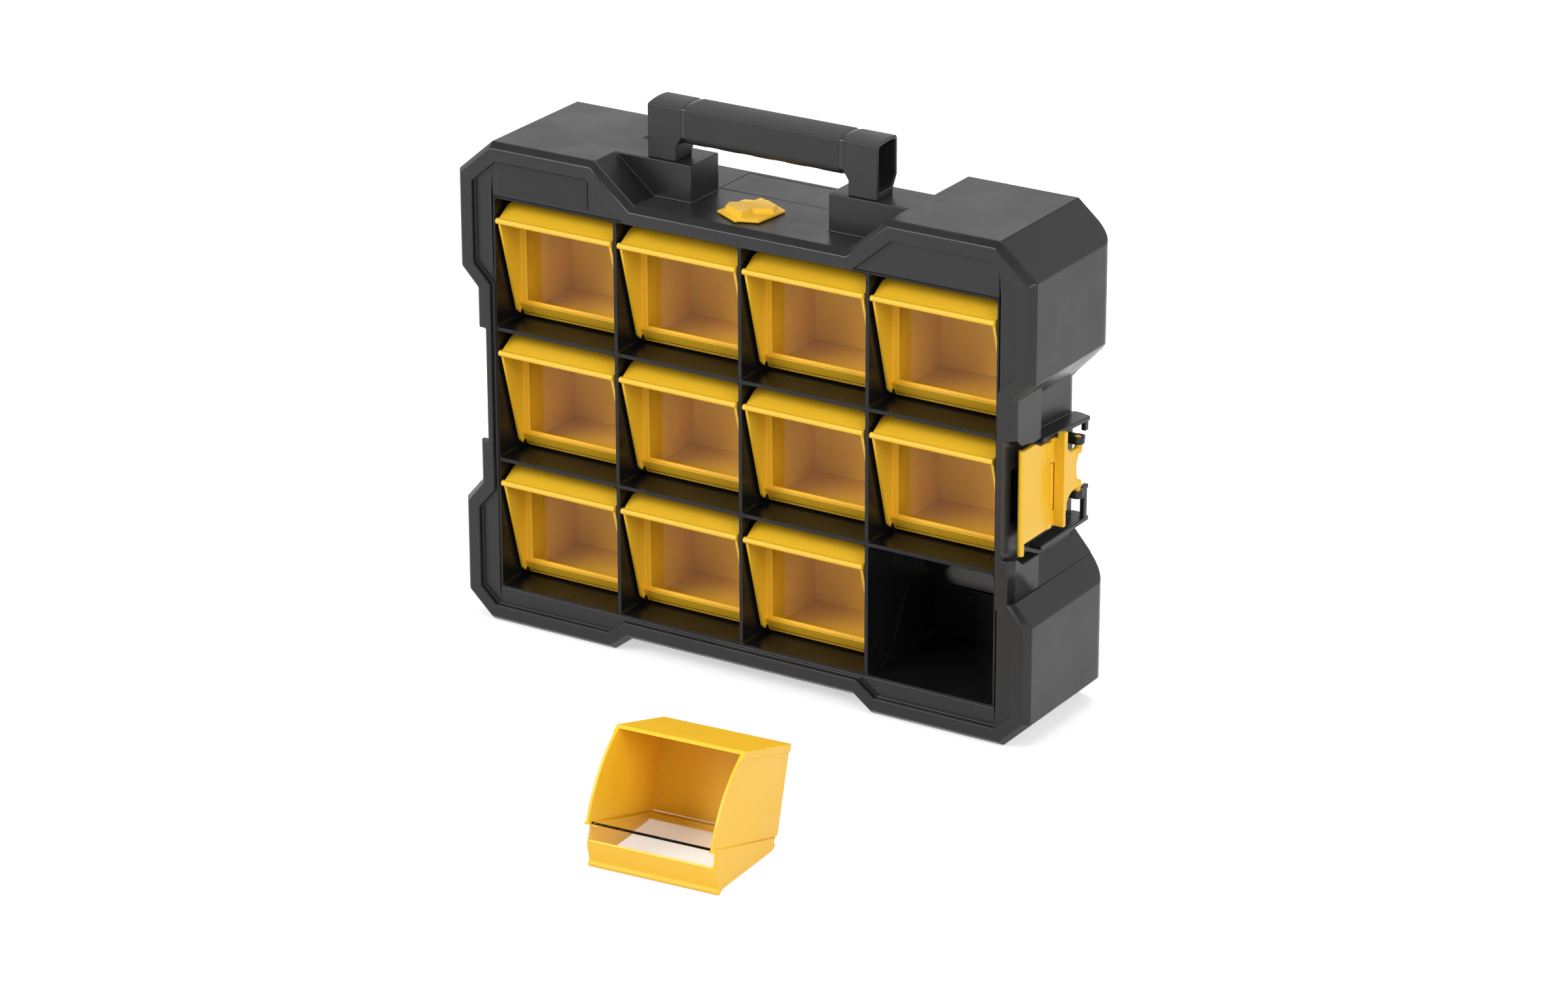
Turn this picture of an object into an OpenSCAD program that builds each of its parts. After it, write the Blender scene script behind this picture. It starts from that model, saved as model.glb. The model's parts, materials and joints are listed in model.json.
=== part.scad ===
// Flip bin organizer: a carrying case that holds a grid of bins, which tilt forward on pegs.
// Millimetres, +Z up, front towards -Y, floor at Z = 0.

/* [Bins] */
// Width of a bin over its front frame
bin_w = 88; // [84:0.5:92]
// Thickness of the bin's walls
bin_wall = 2; // [1.6:0.1:2.4]
// How far the middle of a bin's sides is set in from its frame
side_step = 0.8; // [0.4:0.1:1.2]
// Radius of the bin's open top about its pivot
swing_r = 83.5; // [81:0.5:86]
// From the pivot back to the outside of the bin's back wall
bin_back = 59.5; // [52:0.5:64]
// From the pivot down to the underside of the bin
bin_sole = 2.5; // [2:0.1:3]
// Depth of the flange round the bin's back wall
flange_d = 5; // [3:0.5:8]
// From the pivot forward to the pull bead
bead_y = 24.5; // [20:0.5:28]
// Height of the pull bead above the pivot
bead_z = 69.5; // [64:0.5:72]
// Diameter of the pull bead
bead_d = 4; // [3:0.2:5]
// How far the bead reaches past the frame on each side
bead_over = 0.4; // [0.2:0.1:0.8]
// From the pivot forward to the top edge of the hood
hood_y = 10; // [8:0.5:13]
// Height of the hood's top edge above the pivot
hood_z = 78.6; // [76:0.2:80]
// From the pivot forward to the foot of the cheeks
cheek_y = 6; // [5:0.5:8]
// Height of the foot of the cheeks above the pivot
cheek_z = 3.5; // [3:0.5:5]
// Height of the chin, the strip below the pane, above the pivot
chin_h = 7.5; // [6:0.5:10]
// Width of the frame beside the pane
pane_border = 4; // [3:0.5:6]
// Thickness of the clear pane
pane_t = 1.8; // [1.4:0.1:2.2]
// Radius of the hood's upper corners
hood_r = 2.6; // [1:0.1:4]
// Radius of the chin's lower corners
chin_r = 3.3; // [1:0.1:5]
// Radius of the pegs that the bins hang on
peg_r = 2.4; // [2:0.1:2.8]

/* [Cells] */
// Gap between a bin's frame and the side of its cell
cell_gap = 1.75; // [1.4:0.05:2.2]
// Gap between the top of a bin and the ceiling of its cell
top_gap = 1.2; // [1:0.1:4]
// Thickness of dividers and shelves
divider_t = 2.5; // [2:0.1:3]
// Height of the pegs above the cell's floor
peg_h = 3.8; // [3.5:0.1:4.5]
// From the divider edges back to the pegs
peg_y = 24.5; // [24.5:0.5:28]
// Gap between a bin's back and the back wall of its cell
back_gap = 1.6; // [1.4:0.1:3]
// Wall thickness of the grid's outer sides and back
grid_wall = 1.4; // [1.2:0.1:2]

/* [Case] */
// Bezel and pod at each side of the grid
side_margin = 27.4; // [25:0.2:32]
// From the floor up to the lowest cells
base_margin = 25.8; // [24:0.2:30]
// From the top cells up to the top of the pods
top_margin = 38.2; // [37:0.2:46]
// Wall thickness of the case
case_wall = 2.3; // [2:0.1:2.6]
// How far the rim stands in front of the divider edges
rim_proud = 4; // [3:0.5:5]
// Width of the rim's flat
rim_flat = 8.5; // [7:0.5:10]
// Width of the bevel outside the rim
bevel_out = 3.7; // [3:0.1:4.5]
// Depth of the bevel outside the rim
bevel_deep = 4.6; // [4.2:0.1:5.5]
// Radius of the upright edges at the back
back_r = 13; // [8:0.5:16]
// Rise of the base between the feet
foot_rise = 9.8; // [7:0.2:12]
// Width of the low base between the feet, at each side of the middle
foot_in = 98; // [85:1:110]
// Top recess between the pods: half its width at the floor
recess_hw = 79.2; // [74:0.2:86]
// Run of the slope at each end of the top recess
recess_ramp = 29.5; // [26:0.5:34]
// Depth of the top recess
recess_deep = 24.9; // [22:0.1:27]
// Depth of the indent in the middle of each side
indent = 12.5; // [10:0.5:14]
// From the middle of the grid down to the lower end of the indent
indent_below = 62.5; // [58:0.5:66]
// From the middle of the grid up to the upper end of the indent
indent_above = 71.5; // [66:0.5:74]
// Depth of the front strip beside the side bays, from the divider edges
strip_d = 31; // [26:1:34]
// Thickness of the back cover
panel_t = 2.6; // [2.4:0.1:3.4]

/* [Handle] */
// Half the length of the handle
handle_hl = 85; // [80:1:92]
// Width of the handle's legs
leg_w = 21; // [18:0.5:24]
// Depth of the handle's box section
handle_d = 24.5; // [22:0.5:28]
// Rise of the handle above the pods
handle_rise = 37.5; // [34:0.1:44]
// Thickness of the handle's grip from top to bottom
grip_h = 26; // [22:0.5:28]
// Half the length of the soft grip
grip_hl = 57; // [50:1:60]
// Wall of the handle's box section
handle_wall = 2.2; // [1.8:0.1:2.8]
// Radius of the handle's crowned top, from front to back
handle_crown = 60; // [40:1:90]
// From the divider edges back to the handle's front
handle_y = 26; // [24:0.5:30]

/* [Lock] */
// Turn of the lock knob, in degrees
knob_turn = 60; // [45:1:70]
// Knob to the left of the middle
knob_left = 8.5; // [0:0.5:14]
// From the divider edges back to the knob's axis
knob_y = 28; // [26:0.5:31]
// Teeth of the pinion under the knob
pinion_teeth = 18; // [18:2:22]
// Module of the pinion and its rack
gear_module = 0.7; // [0.6:0.05:0.8]
// Play between pinion and rack on each flank
gear_play = 0.12; // [0.08:0.02:0.16]
// Thickness of the rails behind the bins
rail_t = 2; // [1.8:0.1:2.6]

/* [Side latch] */
// Height of the latch bracket at its front
latch_h = 75; // [72:0.5:76]
// From the bay wall out to the edge of the bracket's shelves
latch_out = 12.5; // [11.5:0.5:13.5]
// Thickness of the bracket's shelves
shelf_t = 3.2; // [2.8:0.1:3.6]
// How far the upper shelf falls towards the back
shelf_fall = 4.5; // [3:0.5:5.5]
// Thickness of the latch lever and hook plate
latch_t = 3; // [2.6:0.1:3.2]
// From the bay wall out to the lever's pin
lever_out = 17; // [16:0.5:18]
// From the divider edges back to the lever's pin
lever_y = 68; // [66:0.5:70]
// From the divider edges back to the front of the lever
lever_front = 48; // [47:0.5:49]

/* [Loose bin] */
// From the divider edges forward to the loose bin's pivot
loose_ahead = 204; // [170:1:260]
// Loose bin to the right of the middle
loose_right = 108; // [60:1:130]
// Turn of the loose bin on the floor, in degrees
loose_turn = 4.3; // [0:0.1:10]

/* [Hidden] */
$fn = 64;
cols = 4;
rows = 3;
eps = 0.01;
// Clearances of pins that turn, of pieces that slide and of covers in their openings
run_gap = 0.08;
slide_gap = 0.4;
cover_gap = 0.2;
// Gap round pieces that are pushed or bonded together
fit_gap = 0.02;
// Cells
cell_w = bin_w + 2 * cell_gap;
cell_h = peg_h + swing_r + top_gap;
col_pitch = cell_w + divider_t;
row_pitch = cell_h + divider_t;
open_hw = (cols * col_pitch - divider_t) / 2;
grid_z0 = base_margin;
grid_z1 = grid_z0 + rows * row_pitch - divider_t;
grid_back = peg_y + bin_back + back_gap;
grid_top = grid_z1 + grid_wall;
peg_len = cell_gap + bin_wall - 0.1;
notch_d = bin_wall + 0.3;
// Bin: pane, hood line and the frame plate in front of the pane
pane_y = 0.5;
frame_t = 1.5;
rim_y = 2;
heel = 3;
chin_y = 4;
chin_low = 2;
lip_t = 1.6;
hood_dir = [bead_y - hood_y, hood_z - bead_z] / norm([bead_y - hood_y, hood_z - bead_z]);
hood_in = bin_wall * [hood_dir.y, -hood_dir.x];
// Rounded slot in the back wall of each cell
slot_w = 0.86 * cell_w;
slot_h = 15;
slot_z = 29;
// Lock: pinion, and the tongues that slide over the top edge of each bin's back wall
pinion_r = gear_module * pinion_teeth / 2;
pinion_t = 4;
pinion_z = grid_top + 1.3;
pressure = 20;
slide_travel = pinion_r * knob_turn * PI / 180;
tongue_w = 14;
tongue_t = 3;
tongue_z = sqrt(pow(swing_r, 2) - pow(bin_back - bin_wall, 2)) + 0.4;
tongue_tip = peg_y + bin_back + 0.5;
// Lock rails
rail_y = grid_back + grid_wall + slide_gap + slide_travel;
rail_z = slot_z - 2;
bar_w = 9;
// Case
case_hw = open_hw + side_margin;
case_h = grid_z1 + top_margin;
recess_z = case_h - recess_deep;
case_back = rail_y + rail_t + slide_gap + panel_t;
tray_gap = 0.05;
tray_hw = open_hw + grid_wall + tray_gap;
tray_z = [grid_z0 - grid_wall - tray_gap, grid_top + tray_gap];
bay_x = tray_hw + case_wall;
bay_r = case_back - grid_back - grid_wall;
side_mid = (grid_z0 + grid_z1) / 2;
latch_bay_x = bay_x + 3;
indent_lo = side_mid - indent_below;
indent_hi = side_mid + indent_above;
ramp_lo = 1.16 * indent;
ramp_hi = 1.04 * indent;
low_corner = [19.2, 18];
top_corner = [26.3, 22.6];
foot_ramp = 13;
// Handle pedestals and the floor behind them
ped_in = 51;
ped_y = [handle_y - 2, handle_y + handle_d + 6];
bay_top_hw = recess_hw + recess_ramp - 2.7;
cover_hw = 52;
cover_y0 = ped_y[1] + 3;
cover_y1 = case_back - case_wall - 2;
// Back cover opening and its screws
rear_hw = bay_x - bay_r - 1;
rear_z = [grid_z0 - grid_wall - 1, grid_top + 1];
screw_r = 1.6;
screw_head_r = 3.4;
screw_head_h = 1.6;
boss_r = 4.5;
screw_cols = [-1.5 * col_pitch, 0, 1.5 * col_pitch];
// Place of the case: the origin is under the middle of the whole set
loose_front = loose_ahead + swing_r * cos(loose_turn) + bin_w / 2 * sin(loose_turn) - 3;
case_y = (loose_front - case_back) / 2;
// The loose bin lies on its bead and the feet of its cheeks
rest_run = bead_y - cheek_y;
rest_rise = bead_z - cheek_z;
loose_tilt = acos(bead_d / 2 / norm([rest_run, rest_rise])) - atan2(rest_run, rest_rise);
loose_z = cheek_y * sin(loose_tilt) - cheek_z * cos(loose_tilt);

bin_ids = [for (r = [1:rows]) for (c = [1:cols]) str("r", r, "c", c)];
loose_id = str("r", rows, "c", cols);

// Colours as photographed
black = [0.16, 0.16, 0.165];
dark_grey = [0.24, 0.24, 0.245];
yellow = [0.96, 0.76, 0.16];
clear = [0.86, 0.87, 0.86, 0.35];
steel = [0.72, 0.73, 0.75];
pale_grey = [0.7, 0.7, 0.7];

// Plain helpers

function unit(v) = v / norm(v);

// Points of a polygon whose edges are moved inwards by d; the points run anticlockwise
function inset(pts, d) = [
    for (i = [0:len(pts) - 1])
        let (
            n = len(pts),
            u = unit(pts[i] - pts[(i + n - 1) % n]),
            v = unit(pts[(i + 1) % n] - pts[i]),
            a = [-u.y, u.x],
            b = [-v.y, v.x]
        )
        pts[i] + d * (a + b) / (1 + a * b)
];

// A right half outline and its mirror image as one outline
function both_sides(half) = concat(half, [for (i = [len(half) - 1:-1:0]) [-half[i].x, half[i].y]]);

// Extrudes an XZ outline along Y
module slab(y0, y1) {
    translate([0, y1, 0])
        rotate([90, 0, 0])
            linear_extrude(y1 - y0)
                children();
}

// Extrudes a YZ outline along X, from x0 to x1
module beam(x0, x1) {
    translate([x0, 0, 0])
        rotate([90, 0, 90])
            linear_extrude(x1 - x0)
                children();
}

// A box given by its low and high corners
module span_box(low, high) {
    translate(low)
        cube(high - low);
}

// A solid between two outlines with equally many points, at heights z0 and z1
module loft(low, z0, high, z1) {
    n = len(low);
    points = concat([for (p = low) [p.x, p.y, z0]], [for (p = high) [p.x, p.y, z1]]);
    sides = [for (i = [0:n - 1]) [i, (i + 1) % n, n + (i + 1) % n, n + i]];
    faces = concat([[for (i = [n - 1:-1:0]) i]], [[for (i = [0:n - 1]) n + i]], sides);
    polyhedron(points, [for (f = faces) [for (i = [len(f) - 1:-1:0]) f[i]]], convexity = 6);
}

// A cylinder along X
module rod_x(r, x0, x1) {
    translate([x0, 0, 0])
        rotate([0, 90, 0])
            cylinder(r = r, h = x1 - x0);
}

// A cylinder along Y
module rod_y(r, y0, y1) {
    translate([0, y0, 0])
        rotate([-90, 0, 0])
            cylinder(r = r, h = y1 - y0);
}

// A copy on the right and one on the left
module mirrored_x() {
    children();
    mirror([1, 0, 0])
        children();
}

// Puts what is drawn about the divider edges where the case stands
module in_case() {
    translate([0, case_y, 0])
        children();
}

// Middle of a cell's width, and the height of its pegs; row 1 is the top one
function cell_x(c) = -open_hw + (c - 1) * col_pitch + cell_w / 2;
function cell_floor(r) = grid_z0 + (rows - r) * row_pitch;
function peg_z(r) = cell_floor(r) + peg_h;

// Case

// Right half of the case's front outline, from the base up to the top recess
function case_half() = [
    [foot_in - foot_ramp, foot_rise],
    [foot_in, 0],
    [case_hw - low_corner.x, 0],
    [case_hw, low_corner.y],
    [case_hw, indent_lo - ramp_lo],
    [case_hw - indent, indent_lo],
    [case_hw - indent, indent_hi],
    [case_hw, indent_hi + ramp_hi],
    [case_hw, case_h - top_corner.y],
    [case_hw - top_corner.x, case_h],
    [recess_hw + recess_ramp, case_h],
    [recess_hw, recess_z]
];
case_outline = both_sides(case_half());

// Outline of the deep bay in each side from x_in outwards, its ends in line with the slopes of the pods
function bay_outline(x_in) =
    let (
        far = 5,
        in = case_hw - indent - x_in,
        low = indent_lo + in * ramp_lo / indent,
        high = indent_hi - in * ramp_hi / indent
    ) [
        [x_in, low],
        [case_hw + far, indent_lo - ramp_lo - far * ramp_lo / indent],
        [case_hw + far, indent_hi + ramp_hi + far * ramp_hi / indent],
        [x_in, high]
    ];

// Side view of the cut in the strip for the latch: it narrows at the top and widens below, behind the rim
zone_far = 60;
latch_zone = [
    [-zone_far, side_mid - 34],
    [3, side_mid - 34],
    [10, side_mid - 39.5],
    [zone_far, side_mid - 39.5],
    [zone_far, side_mid + 37.6],
    [23, side_mid + 37.6],
    [6.6, side_mid + 40.6],
    [1, side_mid + 45.6],
    [-zone_far, side_mid + 45.6]
];
// Window in the floor of that cut, where the hook of a case beside this one catches
catch_y = [8, 26];
catch_z = [side_mid - 14, side_mid + 22];

// The case from above, inset by d, with round upright edges at the back
module case_plan(d) {
    front = -rim_proud - 10;
    translate([-(case_hw - back_r), front])
        square([2 * (case_hw - back_r), case_back - d - front]);
    translate([-(case_hw - d), front])
        square([2 * (case_hw - d), case_back - back_r - front]);
    for (s = [-1, 1])
        translate([s * (case_hw - back_r), case_back - back_r])
            circle(back_r - d);
}

// The bays cut into the case, grown by d; the deep bays in the sides begin at y_front
module case_bays(d, y_front) {
    far = 20;
    round_mid = [bay_x - bay_r, case_back - bay_r];
    mirrored_x() {
        slab(y_front, case_back + far)
            polygon(inset(bay_outline(bay_x), -d));
        beam(latch_bay_x - d, case_hw + far)
            polygon(inset(latch_zone, -d));
        // Round upright edge behind the bay
        intersection() {
            slab(round_mid.y, case_back + far)
                polygon(inset(bay_outline(round_mid.x), -d));
            linear_extrude(case_h)
                difference() {
                    translate(round_mid)
                        square(bay_r + far);
                    translate(round_mid)
                        circle(bay_r - d);
                }
        }
    }
    span_box([-bay_top_hw - d, ped_y[1] - d, recess_z - d], [bay_top_hw + d, case_back + far, case_h + far]);
}

// The case's form behind the bevel, inset by d
module case_form(d, front, bay_front) {
    difference() {
        intersection() {
            union() {
                slab(front, case_back)
                    polygon(inset(case_outline, d));
                mirrored_x()
                    span_box([ped_in + d, ped_y[0] + d, recess_z - 10],
                             [recess_hw + recess_ramp, ped_y[1] - d, case_h - d]);
            }
            linear_extrude(case_h + 10)
                case_plan(d);
        }
        case_bays(d, bay_front);
    }
}

// What the bevel takes off the front edge of the case: a mitred wedge along each side
module bevel_cut() {
    over = 0.5;
    outer = inset(case_outline, -over * bevel_out);
    inner = inset(case_outline, (1 + over) * bevel_out);
    off = inset(case_outline, -bevel_out);
    back = -rim_proud + (1 + over) * bevel_deep;
    front = -rim_proud - over * bevel_deep;
    n = len(case_outline);
    for (i = [0:n - 1]) {
        ends = [i, (i + 1) % n];
        points = [for (k = ends) for (p = [[outer[k], back], [inner[k], front], [off[k], front]])
            [p[0].x, p[1], p[0].y]];
        polyhedron(points, [[0, 1, 2], [3, 5, 4], [0, 3, 4, 1], [1, 4, 5, 2], [2, 5, 3, 0]]);
    }
}

// The whole case, before it is divided into its mouldings
module case_body() {
    difference() {
        case_form(0, -rim_proud, strip_d);
        bevel_cut();
        // Hollow behind the bezel; the strips beside the bays stay solid
        intersection() {
            case_form(case_wall, case_wall, 0);
            span_box([-case_hw, 0, 0], [case_hw, case_back - case_wall, case_h]);
        }
        // Bezel panel behind the rim, and the opening for the grid
        slab(-rim_proud - 1, 0)
            polygon(inset(case_outline, bevel_out + rim_flat));
        span_box([-tray_hw, -rim_proud - 1, tray_z[0]], [tray_hw, case_wall + 1, tray_z[1]]);
        mirrored_x()
            span_box([tray_hw - 1, catch_y[0], catch_z[0]], [latch_bay_x + 1, catch_y[1], catch_z[1]]);
        // Openings for the back cover, the cover behind the knob and the knob's stem
        slab(case_back - case_wall - 1, case_back + 1)
            rear_outline(0);
        span_box([-cover_hw, cover_y0, recess_z - case_wall - 1], [cover_hw, cover_y1, recess_z + 1]);
        translate([-knob_left, knob_y, recess_z - case_wall - 1])
            cylinder(r = stem_r + run_gap, h = case_wall + 2);
        // Clear holes for the handle's screws
        handle_screw_places()
            translate([0, 0, -case_wall - 1])
                cylinder(r = screw_r + cover_gap, h = case_wall + 2);
    }
}

// One moulding of the case: what lies between two corners of a box
module case_moulding(low, high) {
    intersection() {
        case_body();
        span_box(low, high);
    }
}

outside = 500;

module case_top() {
    color(black)
        in_case()
            case_moulding([-tray_hw, -outside, tray_z[1]], [tray_hw, outside, outside]);
}

module case_base() {
    color(black)
        in_case()
            case_moulding([-tray_hw, -outside, -outside], [tray_hw, outside, tray_z[0]]);
}

// The case beside the grid, outwards from x_in on the right or the left, between two heights
module case_side(side, x_in, z0, z1) {
    if (side > 0)
        case_moulding([x_in, -outside, z0], [outside, outside, z1]);
    else
        case_moulding([-outside, -outside, z0], [-x_in, outside, z1]);
}

module upper_pod(side) {
    color(black)
        in_case()
            case_side(side, tray_hw, indent_hi, outside);
}

module lower_pod(side) {
    color(black)
        in_case()
            case_side(side, tray_hw, -outside, indent_lo);
}

// Strip and bay wall on the left, with the window where a latch catches
module catch_plate() {
    color(black)
        in_case()
            case_side(-1, rear_hw, indent_lo, indent_hi);
}

// Cells

// Rounded slot in a cell's back wall
module cell_slot() {
    run = slot_w / 2 - slot_h / 2;
    mid = slot_z + slot_h / 2;
    span_box([-run, grid_back - 1, slot_z], [run, grid_back + grid_wall + 1, slot_z + slot_h]);
    for (x = [-run, run])
        translate([x, 0, mid])
            rod_y(slot_h / 2, grid_back - 1, grid_back + grid_wall + 1);
}

// Slot above it, in which a tongue of the lock slides
module tongue_slot() {
    span_box([-tongue_w / 2 - slide_gap, grid_back - 1, tongue_z - slide_gap],
             [tongue_w / 2 + slide_gap, grid_back + grid_wall + 1, tongue_z + tongue_t + slide_gap]);
}

module rear_screw_places() {
    for (x = screw_cols)
        for (r = [1:rows - 1])
            translate([x, 0, cell_floor(r) - divider_t / 2])
                children();
}

// Five plates make the tray round the cells, open at the front

module tray_wall(side) {
    x = side > 0 ? open_hw : -open_hw - grid_wall;
    color(black)
        in_case()
            difference() {
                span_box([x, 0, grid_z0 - grid_wall], [x + grid_wall, grid_back + grid_wall, grid_top]);
                for (r = [1:rows])
                    translate([0, peg_y, peg_z(r)])
                        rod_x(peg_r + fit_gap, x - 1, x + grid_wall + 1);
            }
}

module tray_deck(z) {
    color(black)
        in_case()
            span_box([-open_hw, 0, z], [open_hw, grid_back + grid_wall, z + grid_wall]);
}

module tray_back() {
    color(black)
        in_case()
            difference() {
                union() {
                    span_box([-open_hw, grid_back, grid_z0], [open_hw, grid_back + grid_wall, grid_z1]);
                    rear_screw_places()
                        rod_y(boss_r, grid_back, case_back - panel_t);
                }
                for (r = [1:rows])
                    for (c = [1:cols])
                        translate([cell_x(c), 0, peg_z(r)]) {
                            cell_slot();
                            tongue_slot();
                        }
                rear_screw_places()
                    rod_y(screw_r, grid_back + grid_wall, case_back);
            }
}

// Middle of a divider's thickness, and the underside of a shelf
function divider_x(i) = cell_x(i) + col_pitch / 2;
function shelf_z(i) = cell_floor(i) - divider_t;

// Upright divider, slotted from the back for the shelves
module cell_divider(i) {
    side = divider_t / 2;
    color(black)
        in_case()
            translate([divider_x(i), 0, 0])
                difference() {
                    span_box([-side, 0, grid_z0 + fit_gap], [side, grid_back - fit_gap, grid_z1 - fit_gap]);
                    for (r = [1:rows - 1])
                        span_box([-side - 1, grid_back / 2, shelf_z(r) - fit_gap],
                                 [side + 1, grid_back + 1, shelf_z(r) + divider_t + fit_gap]);
                    for (r = [1:rows])
                        translate([0, peg_y, peg_z(r)])
                            rod_x(peg_r + fit_gap, -side - 1, side + 1);
                }
}

// Shelf, slotted from the front for the dividers
module cell_shelf(i) {
    color(black)
        in_case()
            difference() {
                span_box([-open_hw + fit_gap, 0, shelf_z(i)],
                         [open_hw - fit_gap, grid_back - fit_gap, shelf_z(i) + divider_t]);
                for (c = [1:cols - 1])
                    translate([divider_x(c), 0, 0])
                        span_box([-divider_t / 2 - fit_gap, -1, shelf_z(i) - 1],
                                 [divider_t / 2 + fit_gap, grid_back / 2 + fit_gap, shelf_z(i) + divider_t + 1]);
            }
}

// Pins through dividers and tray, which stand out into the cells
module pivot_pins() {
    color(black)
        in_case()
            for (r = [1:rows])
                translate([0, peg_y, peg_z(r)]) {
                    for (i = [1:cols - 1])
                        translate([divider_x(i), 0, 0])
                            rod_x(peg_r, -divider_t / 2 - peg_len, divider_t / 2 + peg_len);
                    mirrored_x()
                        rod_x(peg_r, open_hw - peg_len, open_hw + grid_wall);
                }
}

// Back cover, its screws, the cover behind the knob and the bare plate

// Outline of the back cover, inset by d, with a waist between the bays
module rear_outline(d) {
    bay = inset(bay_outline(rear_hw), -d);
    difference() {
        translate([-tray_hw + d, rear_z[0] + d])
            square([2 * (tray_hw - d), rear_z[1] - rear_z[0] - 2 * d]);
        for (s = [-1, 1])
            polygon([for (p = bay) [s * p.x, p.y]]);
    }
}

module rear_panel() {
    color(black)
        in_case()
            difference() {
                slab(case_back - panel_t, case_back)
                    rear_outline(cover_gap);
                rear_screw_places() {
                    rod_y(screw_r + cover_gap, case_back - panel_t - 1, case_back + 1);
                    rod_y(screw_head_r + cover_gap, case_back - screw_head_h - 0.2, case_back + 1);
                }
            }
}

module rear_screws() {
    color(steel)
        in_case()
            rear_screw_places() {
                rod_y(screw_r, grid_back + grid_wall + 0.5, case_back - screw_head_h);
                rod_y(screw_head_r, case_back - screw_head_h - 0.2, case_back - 0.2);
            }
}

module rear_top_cover() {
    lip = 2;
    color(black)
        in_case() {
            span_box([-cover_hw + cover_gap, cover_y0 + cover_gap, recess_z - case_wall - eps],
                     [cover_hw - cover_gap, cover_y1 - cover_gap, recess_z]);
            span_box([-cover_hw - lip, cover_y0 - lip, recess_z - case_wall - 1.5],
                     [cover_hw + lip, cover_y1 + lip - cover_gap, recess_z - case_wall]);
        }
}

plate_x = [-open_hw + 4.5, -recess_hw - recess_ramp - 5.5];
plate_h = 20.6;
plate_t = 0.6;

module name_plate() {
    color(dark_grey)
        in_case()
            translate([plate_x[0], -plate_t, grid_z1 + 4.2])
                cube([plate_x[1] - plate_x[0], plate_t, plate_h]);
}

// Handle

// Section of the handle between heights z0 and z1, inset by d, with a crowned top and round edges
module handle_section(z0, z1, d, r_low) {
    r = 3.5;
    crown_mid = handle_y + 0.6 * handle_d;
    low = [handle_y + d, z0 + d];
    high = [handle_y + handle_d - d, z1 - d];
    intersection() {
        union() {
            translate([low.x, low.y + r_low])
                square([high.x - low.x, high.y - low.y - r - r_low]);
            translate([low.x + r, high.y - r])
                square([high.x - low.x - 2 * r, r]);
            translate([low.x + r_low, low.y])
                square([high.x - low.x - 2 * r_low, r_low + eps]);
            for (y = [low.x + r, high.x - r])
                translate([y, high.y - r])
                    circle(r);
            if (r_low > 0)
                for (y = [low.x + r_low, high.x - r_low])
                    translate([y, low.y + r_low])
                        circle(r_low);
        }
        translate([crown_mid, z1 - handle_crown])
            circle(handle_crown - d);
    }
}

handle_top = case_h + handle_rise;
grip_z = handle_top - grip_h;
elbow_in = grip_hl + 3;
core_d = 1.5;
grip_r_low = 7;

// Side view of a leg, drawn in at the back near the foot
module leg_section(d) {
    draw_in = 5;
    foot_h = 3;
    draw_end = 11.4;
    back = handle_y + handle_d;
    intersection() {
        handle_section(case_h, handle_top, d, 0);
        polygon(inset([
            [handle_y, case_h],
            [back - draw_in, case_h],
            [back - draw_in, case_h + foot_h],
            [back, case_h + draw_end],
            [back, handle_top + 1],
            [handle_y, handle_top + 1]
        ], d));
    }
}

module handle_screw_places() {
    for (x = [-1, 1])
        for (y = [0.29, 0.61])
            translate([x * (handle_hl - leg_w / 2), handle_y + y * handle_d, case_h])
                children();
}

module handle_bail() {
    foot_t = 4.5;
    elbow_low = [-1.5, 4.3];
    leg_in = handle_hl - leg_w;
    color(dark_grey)
        in_case()
            difference() {
                union() {
                    mirrored_x() {
                        beam(leg_in, handle_hl)
                            leg_section(0);
                        beam(elbow_in, leg_in + eps)
                            handle_section(grip_z, handle_top, 0, grip_r_low);
                        // Slanted inner corner of the elbow
                        slab(handle_y, handle_y + handle_d)
                            polygon([
                                [elbow_in, grip_z + elbow_low[1]],
                                [leg_in + eps, grip_z + elbow_low[0]],
                                [leg_in + eps, grip_z + grip_r_low + 1],
                                [elbow_in, grip_z + grip_r_low + 1]
                            ]);
                    }
                    beam(-elbow_in - eps, elbow_in + eps)
                        handle_section(grip_z, handle_top, core_d, grip_r_low - core_d);
                }
                mirrored_x()
                    intersection() {
                        beam(leg_in + handle_wall, handle_hl + 1)
                            leg_section(handle_wall);
                        span_box([0, 0, case_h + foot_t], [handle_hl + 2, case_back, handle_top]);
                    }
                handle_screw_places()
                    translate([0, 0, -1])
                        cylinder(r = screw_r, h = foot_t);
            }
}

module handle_grip() {
    waves = 4;
    wave_d = 1.2;
    pitch = 0.86 * 2 * grip_hl / waves;
    wave_r = (pow(pitch / 2, 2) + pow(wave_d, 2)) / (2 * wave_d);
    color(dark_grey)
        in_case()
            difference() {
                beam(-grip_hl, grip_hl)
                    handle_section(grip_z, handle_top, 0, grip_r_low);
                beam(-grip_hl - 1, grip_hl + 1)
                    handle_section(grip_z, handle_top, core_d - fit_gap, grip_r_low - core_d + fit_gap);
                for (i = [0:waves - 1])
                    translate([(i + 0.5 - waves / 2) * pitch, 0, grip_z + wave_d - wave_r])
                        rod_y(wave_r, 0, case_back);
            }
}

module handle_screws() {
    color(steel)
        in_case()
            handle_screw_places() {
                translate([0, 0, -case_wall])
                    cylinder(r = screw_r, h = case_wall + 2.8);
                translate([0, 0, -case_wall - screw_head_h])
                    cylinder(r = screw_head_r, h = screw_head_h);
            }
}

// Lock

stem_r = 5;
stem_square = 6;
knob_z = recess_z + 0.4;
knob_base_t = 1.6;
knob_bar_h = 3.6;
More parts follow.
